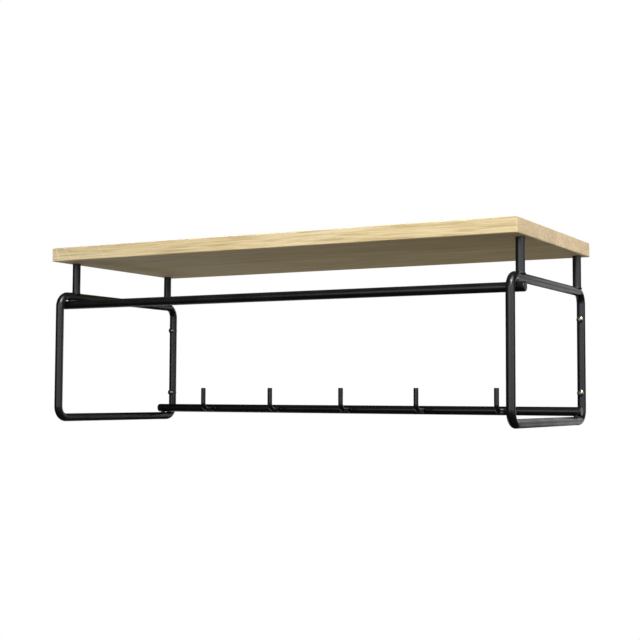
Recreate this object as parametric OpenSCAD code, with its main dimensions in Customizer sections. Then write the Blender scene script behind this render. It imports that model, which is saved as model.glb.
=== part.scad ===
// Wall rack: an oak shelf on two closed loops of bent round tube, joined by a
// hanging rail at the front and a hook rail at the back. X runs along the
// shelf, -Y faces the room and +Z is up. The origin is the centre of the four
// wall screws, on the plane of the wall.

/* [Shelf] */
// Length of the board
shelf_w = 800; // [720:10:1200]
// Depth of the board, from the wall to its front edge
shelf_d = 330; // [280:5:400]
// Thickness of the board
shelf_t = 22; // [18:1:30]
// Radius of the rounded edges
shelf_edge_r = 1.5; // [0.5:0.25:3]

/* [Side loops] */
// Outer diameter of the loops' tube
tube_d = 13; // [12:0.5:15]
// Wall thickness of every tube
tube_wall = 1.2; // [1:0.1:1.5]
// Height of a loop, between tube centres
loop_h = 199; // [170:1:260]
// Bend radius of the loops' corners, to the tube's centre
bend_r = 18.5; // [16:0.5:21]
// Distance from the board's end to the loop's centre plane
loop_inset = 12.7; // [11:0.1:30]
// Clear height between the loops and the board
shelf_rise = 49; // [40:0.5:70]

/* [Posts] */
// Front post, behind the front tube's centre
front_post_inset = 40.1; // [39:0.1:80]
// Rear post, in front of the rear tube's centre
rear_post_inset = 19.6; // [19:0.1:25]
// Depth of the notch in a post's foot
post_notch = 1.5; // [0.5:0.1:4]

/* [Rails] */
// Diameter of both rails
rail_d = 14; // [12:0.5:14]
// Overhang of the hanging rail past the loops' centre planes
top_rail_over = 12.7; // [11:0.1:16]
// Overhang of the hook rail past the loops' centre planes
hook_rail_over = 8.7; // [8:0.1:16]
// Hanging rail, behind the front tube's centre
top_rail_inset = 25.8; // [24:0.1:26]
// Gap between the loops and the hanging rail
top_rail_gap = 0.5; // [0.5:0.1:3]
// Hook rail, in front of the rear tube's centre
hook_rail_inset = 28.8; // [27:0.1:34]
// Gap between the loops and the hook rail
hook_rail_gap = 0.8; // [0.5:0.1:4]
// Diameter of the threaded bosses that carry the rails
boss_d = 8; // [7:0.5:9]
// Thickness of the rails' end caps
cap_t = 2.5; // [2:0.1:3]

/* [Hooks] */
// Diameter of the hooks' rod
hook_d = 8; // [6:0.5:9]
// Distance between neighbouring hooks
hook_pitch = 136.5; // [100:0.5:140]
// Reach from the rail's centre to the hook's stem
hook_reach = 38.7; // [34:0.1:50]
// Height of a stem's tip above the rail's centre
hook_rise = 35.8; // [25:0.1:60]
// Bend radius of a hook, to the rod's centre
hook_bend_r = 10; // [7:0.5:12]

/* [Screws] */
// Height between the two wall screws of a loop
wall_screw_pitch = 114; // [90:1:130]
// Length of the wall screws' studs, behind the loops
stud_l = 3; // [3:1:60]
// Length of a rail screw, head included
rail_screw_l = 20; // [18:1:20]
// Diameter of the pan heads
pan_head_d = 10.4; // [9:0.1:11]
// Height of the pan heads
pan_head_h = 3.2; // [2.5:0.1:3.5]

/* [Hidden] */
$fn = 96;
HOOKS = [for (i = [1 : 5]) str("hook_", i)];

oak = [0.85, 0.76, 0.59];
black = [0.13, 0.13, 0.14];
zinc = [0.45, 0.44, 0.40];
brass = [0.76, 0.62, 0.33];

left = -1;
right = 1;
eps = 0.5;         // how far a cutter runs past what it cuts
hole_gap = 0.2;    // radial clearance of a screw in its hole
thread_gap = 0.02; // radial gap drawn between a screw and its thread
stud_from = 0.5;   // behind the wall's plane, where the wall screws' threads begin

tube_r = tube_d / 2;
bore_r = tube_r - tube_wall;
loop_x = shelf_w / 2 - loop_inset;
front_y = -shelf_d + tube_r;
rear_y = -tube_r;
top_z = loop_h / 2;
bottom_z = -loop_h / 2;
shelf_z = top_z + tube_r + shelf_rise;

front_post_y = front_y + front_post_inset;
rear_post_y = rear_y - rear_post_inset;

rail_r = rail_d / 2;
top_rail_l = 2 * (loop_x + top_rail_over);
top_rail_y = front_y + top_rail_inset;
top_rail_z = top_z - tube_r - top_rail_gap - rail_r;
hook_rail_l = 2 * (loop_x + hook_rail_over);
hook_rail_y = rear_y - hook_rail_inset;
hook_rail_z = bottom_z + tube_r + hook_rail_gap + rail_r;
boss_depth = 8;    // from the loop's tube down into the rail

hook_r = hook_d / 2;
stem_y = hook_rail_y - hook_reach;
stem_top_z = hook_rail_z + hook_rise;
tenon_r = hook_r - 1;
tenon_l = 5;       // from the rail's surface into its bore
hook_places = [for (i = [-2 : 2]) i * hook_pitch];

m4_r = 2;
m5_r = 2.5;
m5_shank_r = 2.24; // of a rolled thread's plain shank
tip_l = 1;         // tapered end of the wall screws
tip_taper = 0.6;   // how much thinner their radius ends
insert_r = 4;
insert_l = 13;
insert_room = 1;   // free depth in the board above an insert
csk_head_r = 3.8;
csk_head_h = 2.1;

// The shelf screws' round heads sit inside the loops' upper tubes
cap_head_r = 3.5;
cap_head_h = 2.6;
cap_seat_z = top_z + sqrt(pow(bore_r, 2) - pow(cap_head_r, 2)) - thread_gap;
shelf_screw_l = shelf_z + insert_l - cap_seat_z;

// Cross recesses: width of the slots, then reach and depth in each size of head
recess_w = 0.9;
m5_recess = [2.4, 1.5];
m4_recess = [1.8, 1.4];

// Centres of the four posts, seen from above
post_places = [for (x = [-loop_x, loop_x], y = [front_post_y, rear_post_y]) [x, y]];

// Straight round bar along X, centred on the origin
module bar_x(r, l) {
    rotate([0, 90, 0])
        cylinder(r = r, h = l, center = true);
}

// Straight round bar from the origin towards +Y
module bar_y(r, l) {
    rotate([-90, 0, 0])
        cylinder(r = r, h = l);
}

// Quarter ring in the YZ plane, from start degrees on, counted from +Y to +Z
module bend_yz(r, ring_r, start) {
    rotate([90, 0, 90])
        rotate([0, 0, start])
            rotate_extrude(angle = 90)
                translate([ring_r, 0])
                    circle(r = r);
}

// A loop's closed ring of round bar, in the plane x = 0
module ring(r) {
    straight_y = rear_y - front_y - 2 * bend_r;
    straight_z = loop_h - 2 * bend_r;
    for (z = [bottom_z, top_z])
        translate([0, front_y + bend_r, z])
            bar_y(r, straight_y);
    for (y = [front_y, rear_y])
        translate([0, y, bottom_z + bend_r])
            cylinder(r = r, h = straight_z);
    translate([0, rear_y - bend_r, top_z - bend_r])
        bend_yz(r, bend_r, 0);
    translate([0, front_y + bend_r, top_z - bend_r])
        bend_yz(r, bend_r, 90);
    translate([0, front_y + bend_r, bottom_z + bend_r])
        bend_yz(r, bend_r, 180);
    translate([0, rear_y - bend_r, bottom_z + bend_r])
        bend_yz(r, bend_r, 270);
}

// Rectangle with round corners, centred on the origin
module round_rect(w, h, r) {
    square([w - 2 * r, h], center = true);
    square([w, h - 2 * r], center = true);
    for (x = [-1, 1], y = [-1, 1])
        translate([x * (w / 2 - r), y * (h / 2 - r)])
            circle(r = r);
}

// Slots of a cross recess, size = [reach, depth], in a head whose top is at z = 0
module cross_recess(size) {
    for (turn = [0, 90])
        rotate([0, 0, turn])
            translate([-size[0], -recess_w / 2, -size[1]])
                cube([2 * size[0], recess_w, size[1] + eps]);
}

// Pan head on z = 0 with its dome upwards
module pan_head() {
    rim_h = 1;
    crown = pan_head_h - rim_h;
    dome_r = (pow(pan_head_d / 2, 2) + pow(crown, 2)) / (2 * crown);
    difference() {
        intersection() {
            cylinder(d = pan_head_d, h = pan_head_h);
            translate([0, 0, pan_head_h - dome_r])
                sphere(r = dome_r);
        }
        translate([0, 0, pan_head_h])
            cross_recess(m5_recess);
    }
}

// Pan head screw, its head above z = 0, threaded only past the loop's tube
module wall_screw() {
    thread_z = -tube_d - stud_from;
    tip_z = -tube_d - stud_l;
    pan_head();
    translate([0, 0, thread_z])
        cylinder(r = m5_shank_r, h = -thread_z);
    translate([0, 0, tip_z + tip_l])
        cylinder(r = m5_r, h = thread_z - tip_z - tip_l);
    translate([0, 0, tip_z])
        cylinder(r1 = m5_r - tip_taper, r2 = m5_r, h = tip_l);
}

// Screw with a countersunk head whose flat top is at z = 0, shank downwards
module countersunk_screw(l) {
    difference() {
        union() {
            translate([0, 0, -csk_head_h])
                cylinder(r1 = m4_r - thread_gap, r2 = csk_head_r, h = csk_head_h);
            translate([0, 0, -l])
                cylinder(r = m4_r - thread_gap, h = l - csk_head_h);
        }
        cross_recess(m4_recess);
    }
}

// The space a countersunk screw needs in a loop's tube, head at z = 0
module countersunk_hole() {
    grow = hole_gap / 2;
    translate([0, 0, -csk_head_h - grow])
        cylinder(r1 = m4_r, r2 = csk_head_r + grow, h = csk_head_h + grow);
    cylinder(r = csk_head_r + grow, h = eps);
    translate([0, 0, -tube_d - eps])
        cylinder(r = m4_r + hole_gap, h = tube_d);
}

// Oak board with every edge slightly rounded
module shelf_board() {
    color(oak)
    difference() {
        translate([0, -shelf_d / 2, shelf_z + shelf_t / 2])
            intersection() {
                linear_extrude(shelf_t, center = true)
                    round_rect(shelf_w, shelf_d, shelf_edge_r);
                rotate([90, 0, 0])
                    linear_extrude(shelf_d, center = true)
                        round_rect(shelf_w, shelf_t, shelf_edge_r);
                rotate([90, 0, 90])
                    linear_extrude(shelf_w, center = true)
                        round_rect(shelf_d, shelf_t, shelf_edge_r);
            }
        for (p = post_places)
            translate([p.x, p.y, shelf_z - eps])
                cylinder(r = insert_r, h = insert_l + insert_room + eps);
    }
}

// Closed loop of bent tube with the holes for its shelf, rail and wall screws
module side_loop(side) {
    color(black)
    translate([side * loop_x, 0, 0])
        difference() {
            ring(tube_r);
            ring(bore_r);
            for (y = [front_post_y, rear_post_y])
                translate([0, y, top_z]) {
                    cylinder(r = m4_r + hole_gap, h = tube_d);
                    mirror([0, 0, 1])
                        cylinder(r = cap_head_r + hole_gap, h = tube_d);
                }
            translate([0, top_rail_y, top_z + tube_r])
                countersunk_hole();
            translate([0, hook_rail_y, bottom_z - tube_r])
                mirror([0, 0, 1])
                    countersunk_hole();
            for (z = [-wall_screw_pitch / 2, wall_screw_pitch / 2])
                translate([0, rear_y - tube_d, z])
                    bar_y(m5_r + hole_gap, 2 * tube_d);
        }
}

// Tube from a loop up to the board, its foot notched to sit on the loop's tube
module post(side, y) {
    foot_z = top_z + tube_r - post_notch;
    color(black)
    difference() {
        translate([side * loop_x, y, foot_z])
            cylinder(r = tube_r, h = shelf_z - foot_z);
        translate([side * loop_x, y, foot_z - eps])
            cylinder(r = bore_r, h = shelf_z - foot_z + 2 * eps);
        translate([side * loop_x, 0, 0])
            ring(tube_r);
    }
}

// Rail of round tube with a hole for each boss
module rail(l, y, z, boss_side) {
    difference() {
        translate([0, y, z])
            bar_x(rail_r, l - 2 * cap_t);
        translate([0, y, z])
            bar_x(rail_r - tube_wall, l);
        for (x = [-loop_x, loop_x])
            translate([x, y, z])
                mirror([0, 0, boss_side < 0 ? 1 : 0])
                    cylinder(d = boss_d, h = rail_r + eps);
    }
}

// Rail along the front, for hangers
module hanging_rail() {
    color(black)
        rail(top_rail_l, top_rail_y, top_rail_z, 1);
}

// Rail along the back, drilled for the hooks' tenons
module hook_rail() {
    color(black)
    difference() {
        rail(hook_rail_l, hook_rail_y, hook_rail_z, -1);
        for (x = hook_places)
            translate([x, hook_rail_y - rail_r - eps, hook_rail_z])
                bar_y(tenon_r, rail_r + eps);
    }
}

// Threaded boss with its axis on z, its saddle cut to the tube above it
module boss(side, y, lift) {
    difference() {
        translate([side * loop_x, y, top_z - tube_r - boss_depth - lift])
            cylinder(d = boss_d, h = boss_depth + lift + tube_r / 2);
        translate([side * loop_x, y, top_z - tube_r - boss_depth - lift - eps])
            cylinder(r = m4_r, h = boss_depth + lift + tube_d);
        translate([side * loop_x, 0, 0])
            ring(tube_r);
    }
}

// Boss between a loop's upper tube and the hanging rail
module hanging_rail_boss(side) {
    color(black)
        boss(side, top_rail_y, top_rail_gap);
}

// Boss between a loop's lower tube and the hook rail
module hook_rail_boss(side) {
    color(black)
    mirror([0, 0, 1])
        boss(side, hook_rail_y, hook_rail_gap);
}

// Steel disc that closes a rail's end, with a short spigot in the bore
module rail_cap(side, l, y, z) {
    edge_r = 1.5;
    spigot_l = 1.5;
    spigot_gap = 0.05;
    color(black)
    translate([side * (l / 2 - cap_t), y, z])
        rotate([0, side * 90, 0]) {
            rotate_extrude() {
                square([rail_r - edge_r, cap_t]);
                square([rail_r, cap_t - edge_r]);
                translate([rail_r - edge_r, cap_t - edge_r])
                    intersection() {
                        circle(r = edge_r);
                        square(edge_r);
                    }
            }
            translate([0, 0, -spigot_l])
                cylinder(r = rail_r - tube_wall - spigot_gap, h = spigot_l);
        }
}

// L-shaped hook of round rod, its arm welded and tenoned into the hook rail
module hook(i) {
    tip = 0.6;
    weld_w = 1.2;
    weld_l = 2;
    arm_y = stem_y + hook_bend_r;
    stem_l = hook_rise - hook_bend_r;
    color(black)
    translate([hook_places[i], 0, 0]) {
        translate([0, stem_y, hook_rail_z + hook_bend_r])
            cylinder(r = hook_r, h = stem_l - tip);
        translate([0, stem_y, stem_top_z - tip])
            cylinder(r1 = hook_r, r2 = hook_r - tip, h = tip);
        translate([0, arm_y, hook_rail_z + hook_bend_r])
            bend_yz(hook_r, hook_bend_r, 180);
        difference() {
            union() {
                translate([0, arm_y, hook_rail_z])
                    bar_y(hook_r, hook_rail_y - arm_y);
                translate([0, hook_rail_y - rail_r - weld_l, hook_rail_z])
                    rotate([-90, 0, 0])
                        cylinder(r1 = hook_r, r2 = hook_r + weld_w, h = weld_l);
                translate([0, hook_rail_y - rail_r, hook_rail_z])
                    bar_y(hook_r + weld_w, rail_r);
            }
            translate([0, hook_rail_y, hook_rail_z])
                bar_x(rail_r, 4 * hook_d);
        }
        translate([0, hook_rail_y - rail_r - weld_l, hook_rail_z])
            bar_y(tenon_r - thread_gap, weld_l + tenon_l);
    }
}

// Brass inserts in the board, one over each post
module shelf_inserts() {
    color(brass)
    for (p = post_places)
        translate([p.x, p.y, shelf_z])
            difference() {
                cylinder(r = insert_r, h = insert_l);
                translate([0, 0, -eps])
                    cylinder(r = m4_r, h = insert_l + 2 * eps);
            }
}

// Long screws from inside the loops, through the posts, into the board
module shelf_screws() {
    color(black)
    for (p = post_places)
        translate([p.x, p.y, cap_seat_z]) {
            cylinder(r = m4_r - thread_gap, h = shelf_screw_l);
            mirror([0, 0, 1])
                difference() {
                    cylinder(r = cap_head_r, h = cap_head_h);
                    translate([0, 0, cap_head_h])
                        cross_recess(m4_recess);
                }
        }
}

// Countersunk screws through the loops, into the rails' bosses
module rail_screws() {
    color(black)
    for (x = [-loop_x, loop_x]) {
        translate([x, top_rail_y, top_z + tube_r])
            countersunk_screw(rail_screw_l);
        translate([x, hook_rail_y, bottom_z - tube_r])
            mirror([0, 0, 1])
                countersunk_screw(rail_screw_l);
    }
}

// Screws through the loops' rear tubes, their ends standing out of the back
module wall_screws() {
    color(zinc)
    for (x = [-loop_x, loop_x], z = [-wall_screw_pitch / 2, wall_screw_pitch / 2])
        translate([x, rear_y - tube_r, z])
            rotate([90, 0, 0])
                wall_screw();
}

shelf_board();
side_loop(left);  // side_loop_left
side_loop(right);  // side_loop_right
post(left, front_post_y);  // post_front_left
post(right, front_post_y);  // post_front_right
post(left, rear_post_y);  // post_rear_left
post(right, rear_post_y);  // post_rear_right
hanging_rail();
hook_rail();
hanging_rail_boss(left);  // hanging_rail_boss_left
hanging_rail_boss(right);  // hanging_rail_boss_right
hook_rail_boss(left);  // hook_rail_boss_left
hook_rail_boss(right);  // hook_rail_boss_right
rail_cap(left, top_rail_l, top_rail_y, top_rail_z);  // hanging_rail_cap_left
rail_cap(right, top_rail_l, top_rail_y, top_rail_z);  // hanging_rail_cap_right
rail_cap(left, hook_rail_l, hook_rail_y, hook_rail_z);  // hook_rail_cap_left
rail_cap(right, hook_rail_l, hook_rail_y, hook_rail_z);  // hook_rail_cap_right
for (i = [0 : len(HOOKS) - 1])
    hook(i);
shelf_inserts();
shelf_screws();
rail_screws();
wall_screws();
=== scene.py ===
"""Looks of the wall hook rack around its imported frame: materials, weld beads, light and camera."""

import math

import bpy
from mathutils import Matrix, Vector


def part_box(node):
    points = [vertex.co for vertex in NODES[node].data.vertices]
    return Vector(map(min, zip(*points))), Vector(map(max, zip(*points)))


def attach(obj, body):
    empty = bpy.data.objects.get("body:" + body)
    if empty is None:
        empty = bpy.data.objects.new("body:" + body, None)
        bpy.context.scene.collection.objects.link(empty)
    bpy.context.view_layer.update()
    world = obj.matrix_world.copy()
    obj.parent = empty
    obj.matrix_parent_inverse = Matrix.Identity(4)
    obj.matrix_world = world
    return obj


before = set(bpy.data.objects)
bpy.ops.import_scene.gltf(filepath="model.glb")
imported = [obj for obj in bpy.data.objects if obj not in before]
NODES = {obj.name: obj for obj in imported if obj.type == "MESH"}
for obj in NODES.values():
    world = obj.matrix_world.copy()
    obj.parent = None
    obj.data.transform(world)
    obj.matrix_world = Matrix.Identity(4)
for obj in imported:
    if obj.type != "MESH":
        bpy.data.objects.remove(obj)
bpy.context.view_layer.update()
MM = 0.001


# Node trees

class Tree:
    """A material's node tree, with short calls that add nodes and link them."""

    def __init__(self, name):
        self.material = bpy.data.materials.new(name)
        self.material.use_nodes = True
        self.tree = self.material.node_tree
        self.shader = self.tree.nodes["Principled BSDF"]

    def put(self, value, socket):
        if isinstance(value, bpy.types.NodeSocket):
            self.tree.links.new(value, socket)
        else:
            socket.default_value = value

    def add(self, kind, inputs, output=0, **settings):
        node = self.tree.nodes.new(kind)
        for key, value in settings.items():
            setattr(node, key, value)
        for key, value in inputs.items():
            self.put(value, node.inputs[key])
        return node.outputs[output]

    def math(self, operation, a, b=0.0, clamp=False):
        return self.add(
            "ShaderNodeMath", {0: a, 1: b}, operation=operation, use_clamp=clamp
        )

    def coordinate(self, output="Object"):
        return self.add("ShaderNodeTexCoord", {}, output)

    def split(self, vector):
        node = self.tree.nodes.new("ShaderNodeSeparateXYZ")
        self.put(vector, node.inputs[0])
        return node.outputs

    def join(self, x, y, z):
        return self.add("ShaderNodeCombineXYZ", {0: x, 1: y, 2: z})

    def scale(self, vector, factors):
        return self.add("ShaderNodeMapping", {"Vector": vector, "Scale": factors})

    def noise(self, vector, scale, detail, roughness=0.5):
        return self.add(
            "ShaderNodeTexNoise",
            {"Vector": vector, "Scale": scale, "Detail": detail, "Roughness": roughness},
            "Fac",
        )

    def spread(self, value, low, high, to_low=0.0, to_high=1.0):
        return self.add(
            "ShaderNodeMapRange",
            {0: value, 1: low, 2: high, 3: to_low, 4: to_high},
            interpolation_type="SMOOTHSTEP",
        )

    def mix(self, factor, a, b, blend="MIX"):
        node = self.tree.nodes.new("ShaderNodeMix")
        node.data_type = "RGBA"
        node.blend_type = blend
        for value, socket in ((factor, 0), (a, 6), (b, 7)):
            self.put(value, node.inputs[socket])
        return node.outputs[2]

    def ramp(self, value, stops):
        node = self.tree.nodes.new("ShaderNodeValToRGB")
        elements = node.color_ramp.elements
        elements[0].position, elements[1].position = stops[0][0], stops[-1][0]
        elements[0].color = stops[0][1]
        elements[1].color = stops[-1][1]
        for position, color in stops[1:-1]:
            elements.new(position).color = color
        self.put(value, node.inputs[0])
        return node.outputs[0]

    def bump(self, height, strength, distance):
        return self.add(
            "ShaderNodeBump", {"Height": height, "Strength": strength, "Distance": distance}
        )

    def finish(self, **inputs):
        for key, value in inputs.items():
            self.put(value, self.shader.inputs[key.replace("_", " ").title()])
        return self.material


def grey(value):
    return (value, value, value, 1)


# Materials

OAK_LIGHT = (0.80, 0.655, 0.40, 1)
OAK_MIDDLE = (0.70, 0.555, 0.30, 1)
OAK_DARK = (0.47, 0.345, 0.155, 1)
OAK_PORE = (0.31, 0.215, 0.09, 1)
OAK_RAY = (0.90, 0.82, 0.62, 1)
# Painted shade with an end-grain tint, multiplied onto the end faces
OAK_END_GRAIN_SHADE = (0.91, 0.88, 0.97, 1)
STAVE_W = 82.5 * MM
RING_W = 3.0 * MM
RING_WAVE = 34 * MM

# How far a stave's pith may lie off its middle, and how far below the board
PITH_SIDE = 60 * MM
PITH_NEAR = 15 * MM
PITH_FAR = 70 * MM

# Pale rays across the front edge: distance from the left end, lean, and strength
RAY_MARKS = ((15 * MM, 0.35, 0.5), (42 * MM, 0.8, 0.45), (110 * MM, 0.7, 0.25))
RAY_HALF_W = 1.2 * MM
RAY_CORE = 0.3 * MM


def make_oak(board):
    """Oak glued up from staves, with growth rings, pores and end grain in the solid, and a painted
    shade on the end faces.
    """
    low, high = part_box(board)
    t = Tree("oak")
    point = t.coordinate()
    x, y, z = t.split(point)
    from_front = t.math("SUBTRACT", y, low.y)
    stave = t.math("FLOOR", t.math("DIVIDE", from_front, STAVE_W))
    chance = t.split(
        t.add("ShaderNodeTexWhiteNoise", {"W": stave}, "Color", noise_dimensions="1D")
    )
    across = t.math(
        "SUBTRACT", from_front, t.math("MULTIPLY", t.math("ADD", stave, 0.5), STAVE_W)
    )
    shift = t.math("MULTIPLY", stave, 7.3)
    solid = t.join(t.math("ADD", x, shift), y, t.math("ADD", z, shift))

    bend = t.noise(t.scale(solid, (0.22, 1.6, 1.6)), 14, 1.5, 0.45)
    pith_y = t.math("ADD", across, t.spread(chance[0], 0, 1, -PITH_SIDE, PITH_SIDE))
    depth = t.spread(chance[1], 0, 1, low.z - PITH_FAR, low.z - PITH_NEAR)
    pith_z = t.math("SUBTRACT", z, depth)
    square = t.math(
        "ADD", t.math("POWER", pith_y, 2), t.math("POWER", pith_z, 2)
    )
    radius = t.math("ADD", t.math("SQRT", square), t.math("MULTIPLY", bend, RING_WAVE))
    ring = t.math("FRACT", t.math("DIVIDE", radius, RING_W))
    early = t.ramp(
        ring, [(0, grey(0)), (0.08, grey(1)), (0.34, grey(0.5)), (0.62, grey(0.12)), (1, grey(0))]
    )

    fibre = t.noise(t.scale(solid, (2.2, 70, 70)), 10, 3, 0.6)
    streak = t.noise(t.scale(solid, (1.1, 30, 30)), 9, 3, 0.6)
    pore = t.noise(t.scale(solid, (7, 300, 300)), 10, 1, 0.5)
    pores = t.math(
        "MULTIPLY", t.spread(pore, 0.60, 0.70), t.math("ADD", t.math("MULTIPLY", early, 0.85), 0.15)
    )
    cloud = t.noise(t.scale(solid, (0.8, 6, 6)), 4, 2, 0.5)

    body = t.math("ADD", t.math("MULTIPLY", early, 0.42), t.spread(fibre, 0.3, 0.7, -0.05, 0.45))
    color = t.mix(t.spread(cloud, 0.3, 0.7), OAK_LIGHT, OAK_MIDDLE)
    color = t.mix(t.math("MULTIPLY", body, 0.62, True), color, OAK_DARK)
    color = t.mix(t.spread(streak, 0.47, 0.68, 0, 0.8), color, OAK_DARK)
    color = t.mix(t.spread(streak, 0.46, 0.26, 0, 0.5), color, OAK_LIGHT)
    color = t.mix(t.math("MULTIPLY", pores, 0.75), color, OAK_PORE)
    tone = t.spread(chance[2], 0, 1, 0.88, 1.07)
    color = t.mix(1.0, color, t.join(tone, tone, tone), "MULTIPLY")

    on_front = t.spread(y, low.y + 2 * MM, low.y + 1 * MM)
    for distance, lean, strength in RAY_MARKS:
        slant = t.math("MULTIPLY", t.math("SUBTRACT", z, low.z), lean)
        line = t.math("ADD", t.math("SUBTRACT", x, low.x + distance), slant)
        mark = t.spread(t.math("ABSOLUTE", line), RAY_HALF_W, RAY_CORE, 0, strength)
        color = t.mix(t.math("MULTIPLY", mark, on_front), color, OAK_RAY)

    # End faces: end-grain tint together with a painted shade, which makes them darker and cooler than
    # the faces along the grain
    along_x = t.math("ABSOLUTE", t.split(t.coordinate("Normal"))[0])
    end_grain_shade = t.spread(along_x, 0.5, 0.9)
    color = t.mix(end_grain_shade, color, t.mix(1.0, color, OAK_END_GRAIN_SHADE, "MULTIPLY"))

    rough = t.math("ADD", t.math("MULTIPLY", pores, 0.2), t.spread(fibre, 0.3, 0.7, 0.5, 0.6))
    height = t.math("SUBTRACT", t.math("MULTIPLY", fibre, 0.4), t.math("MULTIPLY", pores, 1.0))
    height = t.math("SUBTRACT", height, t.math("MULTIPLY", early, 0.25))
    return t.finish(
        base_color=color, roughness=rough, normal=t.bump(height, 0.35, 0.12 * MM)
    )


COAT_DARK = (0.0028, 0.0028, 0.0034, 1)
COAT_LIGHT = (0.0054, 0.0054, 0.0062, 1)


def make_powder_coat():
    """Fine textured satin black powder coat."""
    t = Tree("black_powder_coat")
    point = t.coordinate()
    peel = t.noise(point, 800, 1, 0.4)
    grain = t.noise(point, 1500, 2, 0.6)
    cloud = t.noise(point, 22, 2, 0.5)
    height = t.math("ADD", t.math("MULTIPLY", peel, 0.6), t.math("MULTIPLY", grain, 0.5))
    tone = t.math("ADD", cloud, t.math("MULTIPLY", grain, 0.4))
    color = t.mix(t.spread(tone, 0.4, 1.0), COAT_DARK, COAT_LIGHT)
    rough = t.math("ADD", t.spread(cloud, 0.3, 0.7, 0.27, 0.33), t.math("MULTIPLY", grain, 0.06))
    t.shader.inputs["Specular IOR Level"].default_value = 0.55
    return t.finish(
        base_color=color, roughness=rough, normal=t.bump(height, 0.18, 0.05 * MM)
    )


def make_metal(name, dark, light, rough_low, rough_high, metallic=1.0):
    """Plated metal with faint handling marks and a slightly uneven polish."""
    t = Tree(name)
    point = t.coordinate()
    smear = t.noise(point, 260, 3, 0.6)
    fine = t.noise(point, 2400, 2, 0.5)
    t.shader.inputs["Metallic"].default_value = metallic
    color = t.mix(t.spread(smear, 0.35, 0.65), dark, light)
    uneven = t.math("ADD", smear, t.math("MULTIPLY", fine, 0.3))
    rough = t.spread(uneven, 0.4, 0.9, rough_low, rough_high)
    return t.finish(
        base_color=color, roughness=rough, normal=t.bump(fine, 0.1, 0.02 * MM)
    )


oak = make_oak("shelf_board")
powder_coat = make_powder_coat()
black_screw = make_metal(
    "black_screw", (0.020, 0.020, 0.021, 1), grey(0.040), 0.30, 0.45, metallic=0.6
)
nickel = make_metal("nickel_screw", (0.25, 0.23, 0.19, 1), (0.36, 0.34, 0.29, 1), 0.18, 0.32)
brass = make_metal("brass_insert", (0.55, 0.38, 0.14, 1), (0.72, 0.52, 0.22, 1), 0.22, 0.38)

FINISHES = {
    "shelf_board": oak,
    "shelf_inserts": brass,
    "shelf_screws": black_screw,
    "rail_screws": black_screw,
    "wall_screws": nickel,
}


def dress(obj, material):
    """Puts one material in every slot of an object."""
    if not obj.material_slots:
        obj.data.materials.append(material)
    for place in obj.material_slots:
        place.material = material


for name, obj in NODES.items():
    dress(obj, FINISHES.get(name, powder_coat))


# Weld beads

BEAD_R = 1.25 * MM
BEAD_STEPS = 120
BEAD_SIDES = 10
RIPPLES = 24


def make_bead(name, path):
    """Rippled weld bead along a closed path, given as a function of the angle."""
    small = 0.01
    vertices = []
    for i in range(BEAD_STEPS):
        angle = 2 * math.pi * i / BEAD_STEPS
        here = path(angle)
        along = (path(angle + small) - path(angle - small)).normalized()
        side = Vector((math.cos(angle), math.sin(angle), 0)).cross(along).normalized()
        out = along.cross(side)
        ripple = 0.10 * abs(math.sin(RIPPLES * angle / 2))
        swell = 0.06 * math.sin(3 * angle + 1)
        r = BEAD_R * (1 + ripple + swell)
        for k in range(BEAD_SIDES):
            turn = 2 * math.pi * k / BEAD_SIDES
            vertices.append(here + r * (math.cos(turn) * out + math.sin(turn) * side))
    faces = []
    for i in range(BEAD_STEPS):
        following = (i + 1) % BEAD_STEPS
        for k in range(BEAD_SIDES):
            beside = (k + 1) % BEAD_SIDES
            corners = ((i, k), (i, beside), (following, beside), (following, k))
            faces.append([row * BEAD_SIDES + column for row, column in corners])
    mesh = bpy.data.meshes.new(name)
    mesh.from_pydata(vertices, [], faces)
    mesh.shade_smooth()
    obj = bpy.data.objects.new(name, mesh)
    bpy.context.scene.collection.objects.link(obj)
    dress(obj, powder_coat)
    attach(obj, "root")


def foot_line(foot, tube_r, axis_z):
    """Edge of a post's notched foot, on a tube of the same radius that runs along Y."""
    def place(angle):
        across = tube_r * math.cos(angle)
        on_tube = axis_z + math.sqrt(max(tube_r ** 2 - across ** 2, 0))
        return Vector((foot.x + across, foot.y + tube_r * math.sin(angle), max(foot.z, on_tube)))
    return place


for name in ("post_front_left", "post_front_right", "post_rear_left", "post_rear_right"):
    low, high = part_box(name)
    loop_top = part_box("side_loop_" + name.split("_")[-1])[1].z
    tube_r = (high.x - low.x) / 2
    foot = Vector(((low.x + high.x) / 2, (low.y + high.y) / 2, low.z))
    make_bead("weld_" + name, foot_line(foot, tube_r, loop_top - tube_r))


# Light, floor and camera

def aim(obj, place, target):
    obj.location = place
    obj.rotation_euler = (Vector(target) - Vector(place)).to_track_quat("-Z", "Y").to_euler()


def softbox(name, place, target, size, power, color=(1, 1, 1), spread=180):
    light = bpy.data.lights.new(name, "AREA")
    light.shape = "RECTANGLE"
    light.size, light.size_y = size
    light.energy = power
    light.color = color
    light.spread = math.radians(spread)
    obj = bpy.data.objects.new(name, light)
    bpy.context.scene.collection.objects.link(obj)
    aim(obj, place, target)


softbox("front", (0.9, -3.0, 0.55), (0.9, 0, 0.5), (4.4, 1.4), 20, (0.92, 0.96, 1.0), 120)
softbox("key", (1.8, -2.2, 2.7), (0, -0.15, 0.1), (1.2, 1.2), 12, spread=50)
softbox("side", (2.7, -0.9, 0.4), (0, -0.4, 0.1), (3.0, 1.2), 9, (0.95, 0.98, 1.0), 120)
softbox("side_high", (2.0, -1.3, 2.7), (0.3, -0.15, 0.1), (1.5, 1.5), 9, spread=60)
softbox("behind", (0.5, 2.1, 0.05), (0.45, 0, 0.05), (1.1, 1.6), 8)
softbox("left_low", (-1.6, 1.0, -1.2), (-0.2, -0.15, 0.15), (1.4, 1.0), 1.2, (0.80, 0.90, 1.0), 90)


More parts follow.
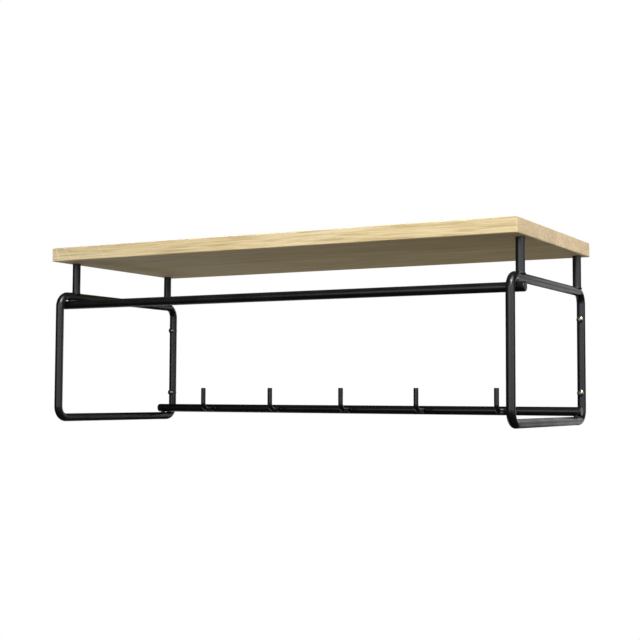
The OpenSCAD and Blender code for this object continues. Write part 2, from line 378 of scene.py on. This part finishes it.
# The world's light on the rack, from straight below to straight above
FLOOR_NEAR = (0.25, 0.234, 0.20, 1)
FLOOR_FAR = (0.225, 0.211, 0.18, 1)
HORIZON = grey(0.03)
SKY = grey(0.06)


def make_world():
    """White to the camera, dim in reflections, and elsewhere a dim sky over the pale floor's glow."""
    world = bpy.data.worlds.new("studio")
    world.use_nodes = True
    tree = world.node_tree
    shown = tree.nodes["Background"]
    shown.inputs["Color"].default_value = grey(1)
    sky = tree.nodes.new("ShaderNodeBackground")
    dim = tree.nodes.new("ShaderNodeBackground")
    dim.inputs["Color"].default_value = HORIZON
    coordinate = tree.nodes.new("ShaderNodeTexCoord")
    split = tree.nodes.new("ShaderNodeSeparateXYZ")
    ramp = tree.nodes.new("ShaderNodeValToRGB")
    ramp.color_ramp.elements[0].color = FLOOR_NEAR
    ramp.color_ramp.elements[1].color = SKY
    ramp.color_ramp.elements.new(0.3).color = FLOOR_FAR
    ramp.color_ramp.elements.new(0.5).color = HORIZON
    place = tree.nodes.new("ShaderNodeMapRange")
    place.inputs["From Min"].default_value = -1
    path = tree.nodes.new("ShaderNodeLightPath")
    glow = tree.nodes.new("ShaderNodeMixShader")
    mix = tree.nodes.new("ShaderNodeMixShader")
    for a, b in (
        (coordinate.outputs["Generated"], split.inputs[0]),
        (split.outputs["Z"], place.inputs["Value"]),
        (place.outputs[0], ramp.inputs[0]),
        (ramp.outputs[0], sky.inputs["Color"]),
        (path.outputs["Is Glossy Ray"], glow.inputs[0]),
        (sky.outputs[0], glow.inputs[1]),
        (dim.outputs[0], glow.inputs[2]),
        (path.outputs["Is Camera Ray"], mix.inputs[0]),
        (glow.outputs[0], mix.inputs[1]),
        (shown.outputs[0], mix.inputs[2]),
        (mix.outputs[0], tree.nodes["World Output"].inputs["Surface"]),
    ):
        tree.links.new(a, b)
    bpy.context.scene.world = world


make_world()
bpy.context.scene.view_settings.view_transform = "Standard"

FLOOR_Z = -1.8
FLOOR_HALF = 4.0
FLOOR_GLOW = 0.6


def make_floor():
    """Plain pale floor, well below the rack; the world stands in for its light on the rack."""
    corners = [(x * FLOOR_HALF, y * FLOOR_HALF, 0) for x, y in ((-1, -1), (1, -1), (1, 1), (-1, 1))]
    mesh = bpy.data.meshes.new("floor")
    mesh.from_pydata(corners, [], [(0, 1, 2, 3)])
    obj = bpy.data.objects.new("floor", mesh)
    obj.location.z = FLOOR_Z
    obj.visible_diffuse = False
    obj.visible_glossy = False
    bpy.context.scene.collection.objects.link(obj)
    t = Tree("floor")
    cloud = t.noise(t.coordinate(), 3, 3)
    color = t.mix(cloud, grey(0.78), grey(0.82))
    t.shader.inputs["Emission Color"].default_value = grey(1)
    t.shader.inputs["Emission Strength"].default_value = FLOOR_GLOW
    obj.data.materials.append(
        t.finish(base_color=color, roughness=t.spread(cloud, 0, 1, 0.7, 0.8))
    )


make_floor()

CAMERA_PLACE = (0.9594, -1.8912, -0.0649)
CAMERA_TURN = math.radians(28.794)
CAMERA_LIFT = math.radians(3.5626)
CAMERA_ROLL = math.radians(0.2367)

camera_data = bpy.data.cameras.new("camera")
camera_data.lens = 69.76
camera_data.sensor_width = 36
camera = bpy.data.objects.new("camera", camera_data)
bpy.context.scene.collection.objects.link(camera)
camera.matrix_world = (
    Matrix.Translation(CAMERA_PLACE)
    @ Matrix.Rotation(CAMERA_TURN, 4, "Z")
    @ Matrix.Rotation(math.pi / 2 + CAMERA_LIFT, 4, "X")
    @ Matrix.Rotation(CAMERA_ROLL, 4, "Z")
)
bpy.context.scene.camera = camera
